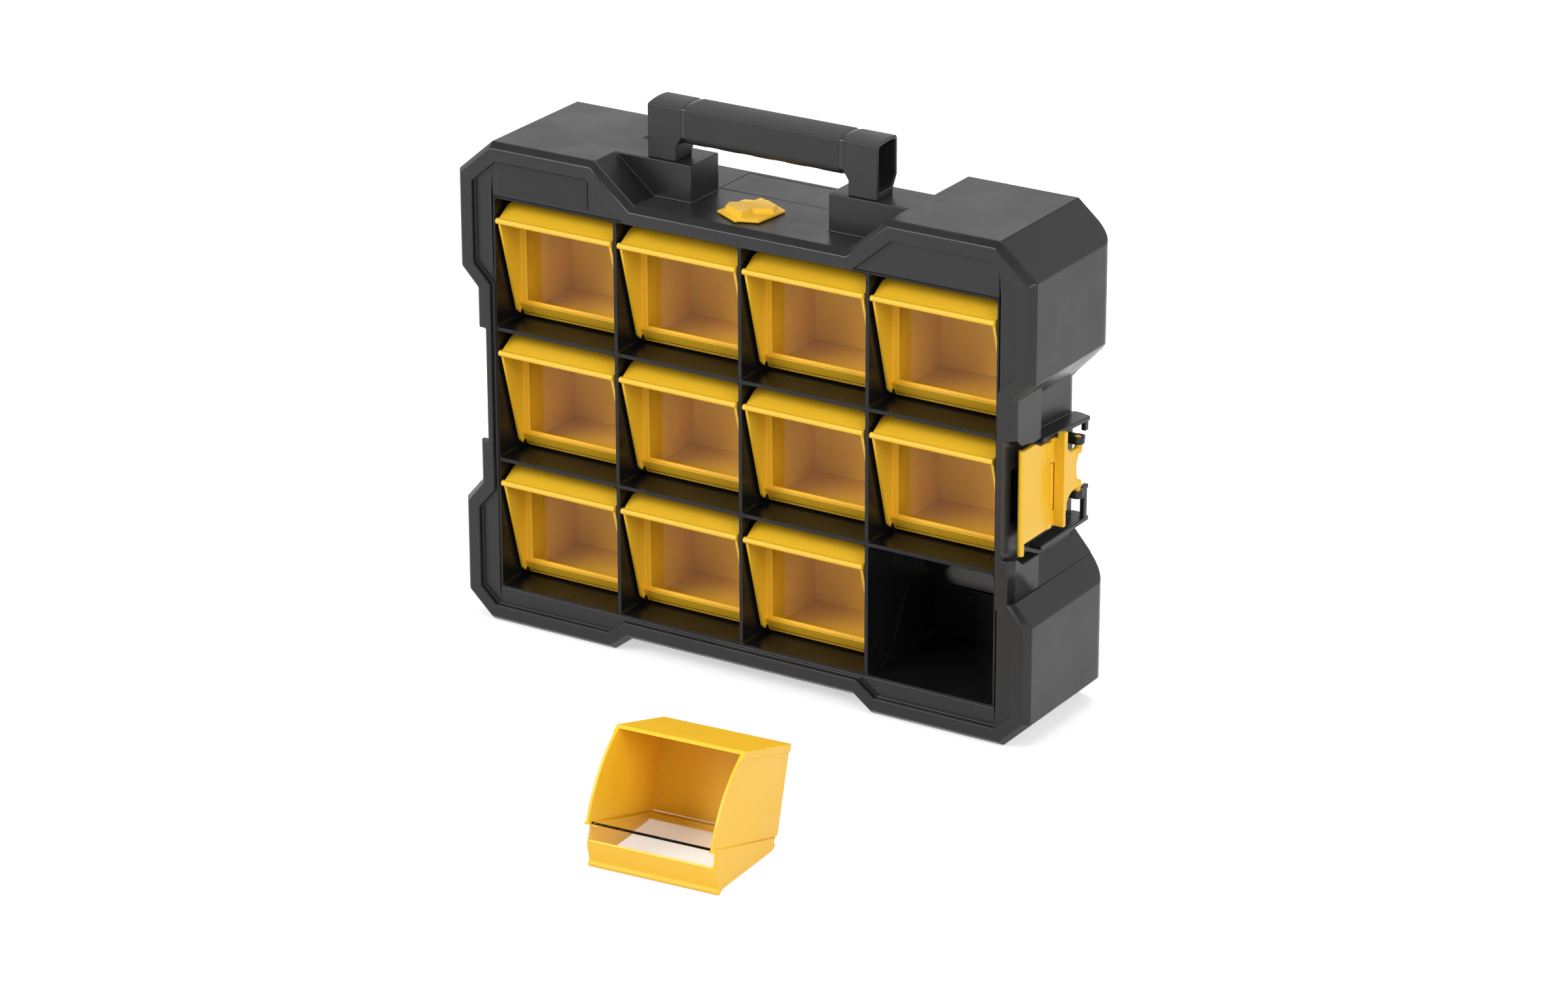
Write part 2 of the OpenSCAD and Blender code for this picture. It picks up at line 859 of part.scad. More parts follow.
// Half the base outline of the knob, and half its raised grip; a half turn makes the rest
knob_base_half = [[-18.4, -11.3], [1.9, -22.6], [3.4, -20.2], [15.5, -15.8]];
knob_grip_half = [[-14.6, -9.5], [3.5, -17], [5, -6], [16.5, 1.5]];

function half_turn(half) = concat(half, [for (p = half) -p]);

module lock_knob() {
    taper = 1.2;
    base = half_turn(knob_base_half);
    grip = half_turn(knob_grip_half);
    // Each half of the grip runs on past its inner corners, into the other half
    run_on = 4;
    ends = [for (k = [[7, 6], [1, 2]]) grip[k[1]] + run_on * unit(grip[k[1]] - grip[k[0]])];
    half = [ends[0], grip[7], grip[0], grip[1], ends[1]];
    stem_low = pinion_z;
    color(yellow)
        in_case()
            translate([-knob_left, knob_y, 0])
                difference() {
                    union() {
                        translate([0, 0, knob_z])
                            linear_extrude(knob_base_t)
                                polygon(base);
                        for (turn = [0, 180])
                            translate([0, 0, knob_z + knob_base_t - eps])
                                rotate(turn)
                                    loft(half, 0, inset(half, taper), knob_bar_h);
                        translate([0, 0, recess_z - case_wall - 0.2])
                            cylinder(r = stem_r, h = knob_z - recess_z + case_wall + 0.4);
                        translate([-stem_square / 2, -stem_square / 2, stem_low])
                            cube([stem_square, stem_square, recess_z - case_wall - stem_low]);
                    }
                    translate([0, 0, stem_low - 1])
                        cylinder(r = screw_r, h = 7);
                }
}

// Gear teeth: involute flanks on the pinion, straight ones on the rack

function polar(r, a) = r * [cos(a), sin(a)];
function involute(t) = t * 180 / PI - atan(t);

// One flank of a tooth that points along X, from the root out to the tip
function flank(side) =
    let (
        steps = 4,
        base_r = pinion_r * cos(pressure),
        tip_r = pinion_r + gear_module,
        root_r = pinion_r - 1.25 * gear_module,
        half = 90 / pinion_teeth - gear_play / pinion_r * 180 / PI,
        t_tip = sqrt(pow(tip_r / base_r, 2) - 1),
        start = half + involute(tan(pressure)),
        curve = [for (i = [0:steps])
            let (t = t_tip * i / steps)
            polar(base_r * sqrt(1 + t * t), side * (start - involute(t)))]
    )
    concat([polar(min(root_r, base_r), side * start)], curve);

function turned(p, a) = [p.x * cos(a) - p.y * sin(a), p.x * sin(a) + p.y * cos(a)];

function tooth() = let (low = flank(-1), up = flank(1)) concat(low, [for (i = [len(up) - 1:-1:0]) up[i]]);

module lock_pinion() {
    outline = [for (i = [0:pinion_teeth - 1]) for (p = tooth()) turned(p, 360 / pinion_teeth * i)];
    hub_r = pinion_r - 1.25 * gear_module - 0.2;
    color(pale_grey)
        in_case()
            translate([-knob_left, knob_y, pinion_z])
                difference() {
                    union() {
                        linear_extrude(pinion_t)
                            polygon(outline);
                        cylinder(r = hub_r, h = recess_z - case_wall - 0.3 - pinion_z);
                    }
                    translate([-stem_square / 2, -stem_square / 2, -1])
                        cube([stem_square, stem_square, recess_z]);
                }
}

module lock_screw() {
    color(steel)
        in_case()
            translate([-knob_left, knob_y, pinion_z]) {
                translate([0, 0, -1])
                    cylinder(r = screw_head_r, h = 1);
                translate([0, 0, -eps])
                    cylinder(r = screw_r, h = 5.5);
            }
}

// The rack and its arm: teeth towards -Y, with a gap at the middle of the pinion at rest
function rack_outline(first, last, depth, end) =
    let (
        pitch = PI * gear_module,
        half = pitch / 4 - gear_play,
        lean = tan(pressure),
        root = 1.25 * gear_module
    )
    concat(
        [for (i = [first:last]) for (s = [
            [-half - root * lean, root],
            [-half + gear_module * lean, -gear_module],
            [half - gear_module * lean, -gear_module],
            [half + root * lean, root]
        ]) [(i + 0.5) * pitch + s.x, s.y]],
        [[end, root], [end, depth], [first * pitch, depth], [first * pitch, root]]
    );

module lock_slide() {
    first = -3;
    last = 2 + ceil(slide_travel / (PI * gear_module));
    arm_w = 8;
    bar_x = cols * col_pitch / 4;
    rail_hw = rear_hw - 1.5;
    head_z = pinion_z + pinion_t;
    head_h = 16;
    color(pale_grey)
        in_case() {
            translate([-knob_left - pinion_r, knob_y, pinion_z])
                linear_extrude(pinion_t)
                    rotate([0, 0, 90])
                        polygon(rack_outline(first, last, arm_w, rail_y + rail_t - knob_y));
            span_box([-bar_x - bar_w / 2, rail_y, head_z - head_h],
                     [bar_x + bar_w / 2, rail_y + rail_t, head_z]);
            for (x = [-bar_x, bar_x])
                span_box([x - bar_w / 2, rail_y, peg_z(rows) + rail_z],
                         [x + bar_w / 2, rail_y + rail_t, head_z]);
            for (r = [1:rows])
                translate([0, 0, peg_z(r)]) {
                    span_box([-rail_hw, rail_y, rail_z], [rail_hw, rail_y + rail_t, tongue_z + tongue_t]);
                    for (c = [1:cols])
                        translate([cell_x(c), 0, 0])
                            span_box([-tongue_w / 2, tongue_tip, tongue_z],
                                     [tongue_w / 2, rail_y + eps, tongue_z + tongue_t]);
                }
        }
}

// Side latch, on the right

latch_lo = side_mid - latch_h / 2;
latch_hi = side_mid + latch_h / 2;
latch_y = [strip_d - eps, case_back - 4];
latch_root = bay_x - case_wall / 2;
latch_web = 3;
lever_x = bay_x + lever_out;
lever_pin_r = 2;
lug_r = 4.2;
lug_t = 5;
lug_z = [side_mid - 13, side_mid + 23.5];
lever_lo = side_mid - 26.5;
lever_hi = latch_hi - shelf_t - 1.4;
lever_top = latch_hi - 0.6;
arm_z = [lug_z[0] + lug_t + 2.5, lug_z[1] - 2];
// Pin between lever and hook, in front of the lever's inner edge
hook_x = bay_x + 8.7;
hook_y = lever_front - 0.8;
hook_pin_r = 1.2;
knuckle_r = 2.2;
hook_knuckle = [side_mid - 15.5, side_mid + 15.5];
hook_front = 11;

// Strip and bay wall on the right, with the shelves, posts and lugs of the latch
module latch_bracket() {
    cut = [8, 3];
    post = [3.5, 4];
    post_y = latch_y[1] - 5 - post.y;
    post_x = bay_x + latch_out - post.x;
    color(black)
        in_case()
            difference() {
                union() {
                    case_side(1, rear_hw, indent_lo, indent_hi);
                    // Upper shelf, which falls towards the back, and lower shelf
                    beam(latch_root, bay_x + latch_out)
                        polygon([
                            [latch_y[0], latch_hi - shelf_t],
                            [latch_y[1], latch_hi - shelf_t - shelf_fall],
                            [latch_y[1], latch_hi - shelf_fall],
                            [latch_y[0], latch_hi]
                        ]);
                    span_box([latch_root, latch_y[0], latch_lo],
                             [bay_x + latch_out, latch_y[1], latch_lo + shelf_t]);
                    span_box([latch_root, latch_y[0], latch_lo],
                             [bay_x + latch_web, case_back - bay_r, latch_hi - shelf_fall]);
                    // Posts at the rear outer corners
                    span_box([post_x, post_y, side_mid + 24.5],
                             [post_x + post.x, post_y + post.y, latch_hi - shelf_fall - 1]);
                    span_box([post_x, post_y, latch_lo + 1],
                             [post_x + post.x, post_y + post.y, side_mid - 12.5]);
                    span_box([post_x, post_y - 2, side_mid - 15.5],
                             [post_x + post.x, post_y + post.y + 1.5, side_mid - 12.5]);
                    // Lugs for the lever's pins, with a nib behind
                    for (z = lug_z)
                        translate([0, 0, z]) {
                            span_box([bay_x, lever_y - lug_r, 0], [lever_x, lever_y + lug_r, lug_t]);
                            translate([lever_x, lever_y, 0])
                                cylinder(r = lug_r, h = lug_t);
                            span_box([lever_x - 5, lever_y + 2, 0],
                                     [lever_x + 1, lever_y + lug_r + 4, lug_t - 1.5]);
                        }
                }
                // Outer rear corners cut off
                for (z = [latch_lo - 1, latch_hi - shelf_fall - shelf_t - 2])
                    translate([bay_x + latch_out, latch_y[1], z])
                        linear_extrude(shelf_t + shelf_fall)
                            polygon([[eps, -cut.y], [eps, eps], [-cut.x, eps]]);
                translate([lever_x, lever_y, lug_z[0] - 1])
                    cylinder(r = lever_pin_r + run_gap, h = lug_z[1] + lug_t + 2 - lug_z[0]);
            }
}

// Side view of the lever's flange: a strip, and an arm with a concave finger cut
module lever_side() {
    strip_w = 4.2;
    finger_r = 14;
    finger_in = 7.5;
    root_r = 10.5;
    root = [lever_front + 3 + root_r, arm_z[0] - root_r];
    arm_end = lever_y + 3.5;
    translate([lever_front, lever_lo])
        square([3, lever_hi - lever_lo]);
    translate([lever_front, root.y])
        square([strip_w, lever_top - root.y]);
    difference() {
        translate([lever_front, root.y])
            square([arm_end - lever_front, arm_z[1] - root.y]);
        translate(root)
            circle(root_r);
        translate([root.x, root.y - 1])
            square([arm_end, arm_z[0] - root.y + 1]);
        translate([arm_end + finger_r - finger_in, (arm_z[0] + arm_z[1]) / 2])
            circle(finger_r);
    }
    polygon([
        [lever_front + strip_w - eps, arm_z[1] - eps],
        [lever_front + strip_w + 4, arm_z[1] - eps],
        [lever_front + strip_w - eps, arm_z[1] + 4]
    ]);
}

module latch_lever() {
    pin_boss = 4;
    lever_face = lever_x + latch_t / 2;
    color(yellow)
        in_case()
            difference() {
                union() {
                    beam(lever_x - latch_t / 2, lever_face)
                        lever_side();
                    // Front plate, from the hook's pin out to the ridge
                    span_box([hook_x, lever_front, lever_lo], [lever_face, lever_front + 3, lever_hi]);
                    span_box([bay_x + latch_out + 1, lever_front, lever_hi - eps],
                             [lever_face, lever_front + 3, lever_top]);
                    // Pins that snap into the bracket's lugs
                    for (z = [arm_z[0], arm_z[1] - pin_boss])
                        translate([lever_x, lever_y, z])
                            cylinder(r = lever_pin_r + 0.6, h = pin_boss);
                    translate([lever_x, lever_y, lug_z[0]])
                        cylinder(r = lever_pin_r, h = arm_z[0] - lug_z[0] + 1);
                    translate([lever_x, lever_y, arm_z[1] - 1])
                        cylinder(r = lever_pin_r, h = lug_z[1] + lug_t - arm_z[1] + 1);
                    // Knuckles for the hook's pin
                    for (z = [[lever_lo, hook_knuckle[0] - 0.4], [hook_knuckle[1] + 0.4, lever_hi]])
                        translate([hook_x, hook_y, z[0]])
                            cylinder(r = knuckle_r, h = z[1] - z[0]);
                }
                translate([hook_x, hook_y, lever_lo - 1])
                    cylinder(r = hook_pin_r, h = latch_h);
                translate([hook_x, hook_y, hook_knuckle[0] - 0.4])
                    cylinder(r = knuckle_r + 0.4, h = hook_knuckle[1] - hook_knuckle[0] + 0.8);
            }
}

module latch_hook() {
    face = hook_x + 2.2;
    back = face - latch_t;
    edge = hook_y - knuckle_r - 0.4;
    tube_r = 2.2;
    rib = 1;
    dip = 1.2;
    dip_y = edge - 13;
    dip_z = [side_mid - 6, side_mid + 14];
    ramp = 4;
    top_front = side_mid + 35.6;
    top_mid = latch_hi - shelf_t - 1.8;
    top_rear = latch_hi - shelf_t - 2.8;
    color(yellow)
        in_case()
            difference() {
                union() {
                    beam(back, face)
                        polygon([
                            [hook_front, lever_lo],
                            [edge, lever_lo],
                            [edge, top_rear],
                            [strip_d, top_mid],
                            [strip_d - 6, top_front],
                            [hook_front, top_front]
                        ]);
                    translate([face - tube_r, hook_front, lever_lo - 8.2])
                        cylinder(r = tube_r, h = top_front - lever_lo + 8.2);
                    // Knuckle on the lever's pin
                    translate([hook_x, hook_y, hook_knuckle[0]])
                        cylinder(r = knuckle_r, h = hook_knuckle[1] - hook_knuckle[0]);
                    span_box([back, edge - 1, hook_knuckle[0]], [hook_x + 1.4, hook_y, hook_knuckle[1]]);
                    // Raised rails on the outside
                    beam(face - eps, face + rib)
                        polygon([
                            [edge - 6, side_mid + 22],
                            [edge - 3, side_mid + 19.5],
                            [edge, side_mid + 22],
                            [edge, top_rear],
                            [edge - 6, top_rear]
                        ]);
                    span_box([face - eps, edge - 5, lever_lo], [face + rib, edge, side_mid - 11.5]);
                }
                // Dip with sloped ends, where a finger pushes, and the relief in the rear edge
                slab(dip_y, edge + 1)
                    polygon([
                        [face + eps, dip_z[0] - ramp],
                        [face + eps, dip_z[1] + ramp],
                        [face - dip, dip_z[1]],
                        [face - dip, dip_z[0]]
                    ]);
                translate([hook_x, hook_y, lever_lo - 1])
                    cylinder(r = hook_pin_r + run_gap, h = latch_h);
            }
}

module latch_pin() {
    color(steel)
        in_case()
            translate([hook_x, hook_y, lever_lo + 0.5])
                cylinder(r = hook_pin_r, h = lever_hi - lever_lo - 1);
}

// Bins, drawn about their pivot

// Side view of a bin, with its open top round about the pivot
module bin_side() {
    intersection() {
        polygon([
            [-bead_y, bead_z],
            [-cheek_y, cheek_z],
            [-cheek_y + heel, cheek_z - heel],
            [pane_y, -bin_sole],
            [bin_back, -bin_sole],
            [bin_back, swing_r],
            [-rim_y, swing_r],
            [-hood_y, hood_z]
        ]);
        circle(swing_r, $fn = 96);
    }
}

// Space in front of the pane, below the hood and between the cheeks
module bin_mouth() {
    far = 20;
    low = [-bead_y, bead_z] + hood_in - far * hood_dir;
    high = [-hood_y, hood_z] + hood_in;
    front = pane_y - frame_t;
    polygon([
        [front, chin_h],
        [-chin_y, chin_h],
        [chin_low, -bin_sole - eps],
        [chin_low, -far],
        [low.x, -far],
        low,
        high,
        [high.x, swing_r + far],
        [front, swing_r + far]
    ]);
}

// What is cut off to round an upper or lower right corner of an outline, and a little beside it
module corner_cut(at, r, up, beside) {
    difference() {
        translate([at.x - r, up > 0 ? at.y - r : at.y - 1])
            square([r + beside, r + 1]);
        translate([at.x - r, at.y - up * r])
            circle(r);
    }
}

module bin_tub_shape() {
    inner_w = bin_w - 2 * side_step - 2 * bin_wall;
    mouth_w = bin_w - 2 * bin_wall;
    sill = chin_h + 1.5;
    difference() {
        intersection() {
            beam(-bin_w / 2, bin_w / 2)
                bin_side();
            union() {
                span_box([-bin_w, -bead_y - 10, -20], [bin_w, pane_y + pane_t, 2 * swing_r]);
                span_box([-bin_w / 2 + side_step, 0, -20], [bin_w / 2 - side_step, bin_back + 5, 2 * swing_r]);
                span_box([-bin_w, bin_back - flange_d, -20], [bin_w, bin_back + 5, 2 * swing_r]);
            }
        }
        // Room for what the bin holds
        span_box([-inner_w / 2, pane_y, -bin_sole + bin_wall], [inner_w / 2, bin_back - bin_wall, 2 * swing_r]);
        // Mouth below the hood, and the opening in front of the pane
        beam(-mouth_w / 2, mouth_w / 2)
            bin_mouth();
        span_box([-mouth_w / 2 + pane_border, pane_y - frame_t - 1, sill],
                 [mouth_w / 2 - pane_border, pane_y + 1, 2 * swing_r]);
        // Seat for the pane's bent top
        span_box([-bin_w, -hood_y - 1, hood_z], [bin_w, pane_y + eps, 2 * swing_r]);
        // Round upper corners of the hood and lower corners of the chin
        mirrored_x()
            slab(-2 * bead_y, pane_y) {
                corner_cut([bin_w / 2, hood_z], hood_r, 1, 1);
                corner_cut([mouth_w / 2, -bin_sole], chin_r, -1, 0);
            }
        // Notches that drop over the pegs
        mirrored_x()
            translate([bin_w / 2 - notch_d, 0, 0]) {
                rod_x(peg_r + run_gap, 0, notch_d + 1);
                span_box([0, -peg_r - run_gap, -20], [notch_d + 1, peg_r + run_gap, 0]);
            }
    }
    translate([0, -bead_y, bead_z])
        rod_x(bead_d / 2, -bin_w / 2 - bead_over, bin_w / 2 + bead_over);
}

// Clear pane behind the frame, its top bent forward over the hood
module bin_window_shape() {
    pane_w = bin_w - 2 * side_step - 2 * bin_wall - 0.2;
    lip_w = bin_w - 2 * bin_wall - 0.4;
    low = bin_wall - bin_sole;
    span_box([-pane_w / 2, pane_y, low], [pane_w / 2, pane_y + pane_t, hood_z + lip_t]);
    span_box([-lip_w / 2, -hood_y + 0.4, hood_z + fit_gap], [lip_w / 2, pane_y + eps, hood_z + lip_t]);
}

// Puts a bin on its pegs, or the loose one on the floor
module at_bin(id) {
    r = ord(id[1]) - ord("0");
    c = ord(id[3]) - ord("0");
    if (id == loose_id)
        in_case()
            translate([loose_right, -loose_ahead, loose_z])
                rotate([0, 0, loose_turn])
                    rotate([loose_tilt, 0, 0])
                        children();
    else
        in_case()
            translate([cell_x(c), peg_y, peg_z(r)])
                children();
}

module bin_tub(id) {
    color(yellow)
        at_bin(id)
            bin_tub_shape();
}

module bin_window(id) {
    color(clear)
        at_bin(id)
            bin_window_shape();
}

case_top();
case_base();
upper_pod(-1);  // upper_pod_left
upper_pod(1);  // upper_pod_right
lower_pod(-1);  // lower_pod_left
lower_pod(1);  // lower_pod_right
catch_plate();
tray_wall(-1);  // tray_left
tray_wall(1);  // tray_right
tray_deck(grid_z1);  // tray_roof
tray_deck(grid_z0 - grid_wall);  // tray_floor
tray_back();
pivot_pins();
rear_panel();
rear_screws();
rear_top_cover();
name_plate();
handle_bail();
handle_grip();
handle_screws();
lock_knob();
lock_pinion();
lock_screw();
lock_slide();
latch_bracket();
latch_lever();
latch_hook();
latch_pin();
for (i = [1:cols - 1])
    cell_divider(i);
for (i = [1:rows - 1])
    cell_shelf(i);
for (id = bin_ids) {
    bin_tub(id);
    bin_window(id);
}
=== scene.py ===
"""Looks for the flip bin organizer: materials, small details, light, floor and camera."""

import json
import math

import bmesh
import bpy
from mathutils import Matrix, Vector
from mathutils.bvhtree import BVHTree
from mathutils.kdtree import KDTree


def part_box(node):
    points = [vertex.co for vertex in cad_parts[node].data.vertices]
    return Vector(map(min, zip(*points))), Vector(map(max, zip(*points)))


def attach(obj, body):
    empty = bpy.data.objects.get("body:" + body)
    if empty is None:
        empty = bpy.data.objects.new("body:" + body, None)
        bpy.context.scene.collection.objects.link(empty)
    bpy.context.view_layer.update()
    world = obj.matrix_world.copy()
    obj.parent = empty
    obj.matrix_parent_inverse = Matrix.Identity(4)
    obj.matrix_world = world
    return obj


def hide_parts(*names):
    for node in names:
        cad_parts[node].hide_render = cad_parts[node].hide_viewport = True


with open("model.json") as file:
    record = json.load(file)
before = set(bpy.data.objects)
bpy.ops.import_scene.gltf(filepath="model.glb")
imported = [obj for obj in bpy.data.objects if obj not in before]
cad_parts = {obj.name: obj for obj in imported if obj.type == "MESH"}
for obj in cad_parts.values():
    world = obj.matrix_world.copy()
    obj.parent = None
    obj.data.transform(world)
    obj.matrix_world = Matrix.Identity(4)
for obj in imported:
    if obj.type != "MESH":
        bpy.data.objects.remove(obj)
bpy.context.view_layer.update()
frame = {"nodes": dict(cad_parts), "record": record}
nodes = frame["nodes"]
record = frame["record"]
slot_of = {s["node"]: s["material_slot"] for s in record["subparts"]}
body_of = {n: body for body, members in record["behaviour"]["bodies"].items() for n in members}
scene = bpy.context.scene
MM = 0.001

# Camera, solved from the cells of the photograph: angles in degrees, place in metres
AZIMUTH = 31.911
ELEVATION = 21.813
ROLL = -0.114
CAMERA_AT = (1.71262, -2.60336, 1.40904)
LENS = 123.65
SENSOR = 36.0
FAR_CLIP = 50.0

# The middle part of a noise's values, over which tone and gloss change
NOISE_LOW = 0.3
NOISE_HIGH = 0.7
NOISE_ROUGHNESS = 0.55

# Colours
BLACK = (0.011, 0.011, 0.0113)
CRATE = (0.006, 0.006, 0.0062)
HANDLE = (0.014, 0.014, 0.0143)
YELLOW = (0.90, 0.52, 0.022)
PANE = (0.95, 0.93, 0.89)
RAIL = (0.42, 0.42, 0.42)
ZINC = (0.62, 0.63, 0.64)
FLOOR_LOW = (0.62, 0.62, 0.62)
FLOOR_HIGH = (0.64, 0.64, 0.64)
WHITE = (1.0, 1.0, 1.0, 1.0)

# Round on the edges of each node, in mm, by the start of its name
EDGE_ROUNDS = {
    "bin_tub": 0.45,
    "bin_window": 0.3,
    "handle_bail": 0.6,
    "handle_grip": 0.6,
    "lock_knob": 0.45,
    "latch_lever": 0.45,
    "latch_hook": 0.4,
    "name_plate": 0.25,
    "rear_panel": 0.5,
    "rear_top_cover": 0.4,
}
CASE_ROUND = 0.8
RING_ROUND = 0.5
ROUND_STEPS = 3

# Least angle of an edge that is rounded, and of one that stays hard in the shading
SHARP_EDGE = math.radians(32)
HARD_EDGE = math.radians(40)

# How far a round may leave the surface, as a share of its width
STRAY_SHARE = 0.6

# Corners around a stray point whose edges stay sharp at the next try, one number for each try
STRAY_CORNERS = (2, 4, 8, 16)

# Distances in mm under which points are merged, in one node and after a union
NODE_WELD = 0.002
UNION_WELD = 0.01

# Cells, in mm: the fillets' radius, and the pegs behind the front edge and above the cell's floor
FILLET_RADIUS = 2.2
PEG_BACK = 24.5
PEG_HEIGHT = 3.8

# Ribs of the cells, in mm: ends measured back and up from the peg, height, half width and sink
RIB_START = (9.0, 9.5)
RIB_END = (28.0, 43.5)
RIB_HEIGHT = 0.8
RIB_HALF = 0.7
RIB_SINK = 0.2

# Rings at the ends of the grip, in mm: width of the gap, play at each side, and drop below the grip
RING_GAP = 3.0
RING_PLAY = 0.05
RING_DROP = 0.35

# Point that the lamps aim at, in metres
LIT_POINT = (0.0, 0.05, 0.18)


# Node helpers


class Tree:
    """A material's node tree, with short calls for adding and joining nodes."""

    def __init__(self, name):
        self.material = bpy.data.materials.new(name)
        self.material.use_nodes = True
        self.nodes = self.material.node_tree.nodes
        self.links = self.material.node_tree.links
        self.shader = self.nodes["Principled BSDF"]
        self.output = self.nodes["Material Output"]
        self.place = self.nodes.new("ShaderNodeTexCoord").outputs["Object"]

    def link(self, source, target):
        self.links.new(source, target)

    def noise(self, scale, detail=3.0, stretch=None):
        node = self.nodes.new("ShaderNodeTexNoise")
        node.inputs["Scale"].default_value = scale
        node.inputs["Detail"].default_value = detail
        node.inputs["Roughness"].default_value = NOISE_ROUGHNESS
        place = self.place
        if stretch:
            mapping = self.nodes.new("ShaderNodeMapping")
            mapping.inputs["Scale"].default_value = stretch
            self.link(self.place, mapping.inputs["Vector"])
            place = mapping.outputs["Vector"]
        self.link(place, node.inputs["Vector"])
        return node.outputs["Fac"]

    def ramp(self, fac, low_color, high_color):
        node = self.nodes.new("ShaderNodeValToRGB")
        low, high = node.color_ramp.elements
        low.position = NOISE_LOW
        low.color = (*low_color, 1.0)
        high.position = NOISE_HIGH
        high.color = (*high_color, 1.0)
        self.link(fac, node.inputs["Fac"])
        return node.outputs["Color"]

    def span(self, fac, low, high, from_low=NOISE_LOW, from_high=NOISE_HIGH):
        node = self.nodes.new("ShaderNodeMapRange")
        node.inputs["From Min"].default_value = from_low
        node.inputs["From Max"].default_value = from_high
        node.inputs["To Min"].default_value = low
        node.inputs["To Max"].default_value = high
        self.link(fac, node.inputs["Value"])
        return node.outputs["Result"]

    def bump(self, height, strength, distance, normal=None):
        node = self.nodes.new("ShaderNodeBump")
        node.inputs["Strength"].default_value = strength
        node.inputs["Distance"].default_value = distance
        self.link(height, node.inputs["Height"])
        if normal:
            self.link(normal, node.inputs["Normal"])
        return node.outputs["Normal"]

    def set(self, **values):
        for name, value in values.items():
            self.shader.inputs[name.replace("_", " ")].default_value = value

    def join(self, **sockets):
        for name, socket in sockets.items():
            self.link(socket, self.shader.inputs[name.replace("_", " ")])


def seen_rays(tree_nodes, links):
    """One for rays that come from the camera, a gloss or clear plastic, and zero for other rays."""
    path = tree_nodes.new("ShaderNodeLightPath")
    total = path.outputs["Is Camera Ray"]
    for ray in ("Is Glossy Ray", "Is Transmission Ray"):
        most = tree_nodes.new("ShaderNodeMath")
        most.operation = "MAXIMUM"
        links.new(total, most.inputs[0])
        links.new(path.outputs[ray], most.inputs[1])
        total = most.outputs["Value"]
    return total


def shade(color, factor):
    """The colour made darker or lighter by a factor."""
    return tuple(min(1.0, c * factor) for c in color)


# Materials


def moulded(name, color, rough, grain=1600.0, grain_depth=0.05, spread=0.12, specular=0.5):
    """Moulded plastic: a fine even grain, slow changes of gloss and a faint change of tone."""
    smoother = 0.05
    rougher = 0.07
    wave_depth = 0.4
    tree = Tree(name)
    clouds = tree.noise(scale=9.0, detail=4.0)
    tone = tree.ramp(clouds, shade(color, 1 - spread), shade(color, 1 + spread))
    wear = tree.noise(scale=28.0, detail=5.0)
    gloss = tree.span(wear, rough - smoother, rough + rougher)
    grains = tree.noise(scale=grain, detail=2.0)
    fine = tree.bump(grains, strength=0.35, distance=grain_depth * MM)
    waves = tree.noise(scale=45.0, detail=2.0)
    slow = tree.bump(waves, strength=0.05, distance=wave_depth * MM, normal=fine)
    tree.join(Base_Color=tone, Roughness=gloss, Normal=slow)
    tree.set(Specular_IOR_Level=specular)
    return tree.material


def clear_plastic(name, tint, rough):
    """Clear sheet with faint smudges and waves, which lets the lamps' light through."""
    smudge_rough = 0.06
    wave_depth = 0.5
    light_share = 0.88
    tree = Tree(name)
    smudges = tree.noise(scale=22.0, detail=5.0)
    gloss = tree.span(smudges, rough, rough + smudge_rough, from_low=0.45, from_high=0.75)
    waves = tree.noise(scale=14.0, detail=1.0)
    slow = tree.bump(waves, strength=0.03, distance=wave_depth * MM)
    tree.join(Roughness=gloss, Normal=slow)
    tree.set(Base_Color=(*tint, 1.0), Transmission_Weight=1.0, IOR=1.22)
    clear = tree.nodes.new("ShaderNodeBsdfTransparent")
    clear.inputs["Color"].default_value = (*shade(tint, light_share), 1.0)
    path = tree.nodes.new("ShaderNodeLightPath")
    mix = tree.nodes.new("ShaderNodeMixShader")
    tree.link(path.outputs["Is Shadow Ray"], mix.inputs["Fac"])
    tree.link(tree.shader.outputs["BSDF"], mix.inputs[1])
    tree.link(clear.outputs["BSDF"], mix.inputs[2])
    tree.link(mix.outputs["Shader"], tree.output.inputs["Surface"])
    return tree.material


def steel_plate(name, color, rough):
    """Zinc-plated steel: cloudy gloss and fine turning marks."""
    dark_share = 0.85
    smoother = 0.06
    rougher = 0.1
    mark_depth = 0.03
    tree = Tree(name)
    clouds = tree.noise(scale=120.0, detail=5.0)
    tone = tree.ramp(clouds, shade(color, dark_share), color)
    gloss = tree.span(clouds, rough - smoother, rough + rougher)
    turning = tree.noise(scale=700.0, detail=2.0, stretch=(1.0, 1.0, 6.0))
    marks = tree.bump(turning, strength=0.2, distance=mark_depth * MM)
    tree.join(Base_Color=tone, Roughness=gloss, Normal=marks)
    tree.set(Metallic=1.0)
    return tree.material


def yellow(name, rough):
    """The yellow plastic of bins, latch and knob, with a very fine grain."""
    return moulded(name, YELLOW, rough, grain=2400.0, grain_depth=0.02, spread=0.03)


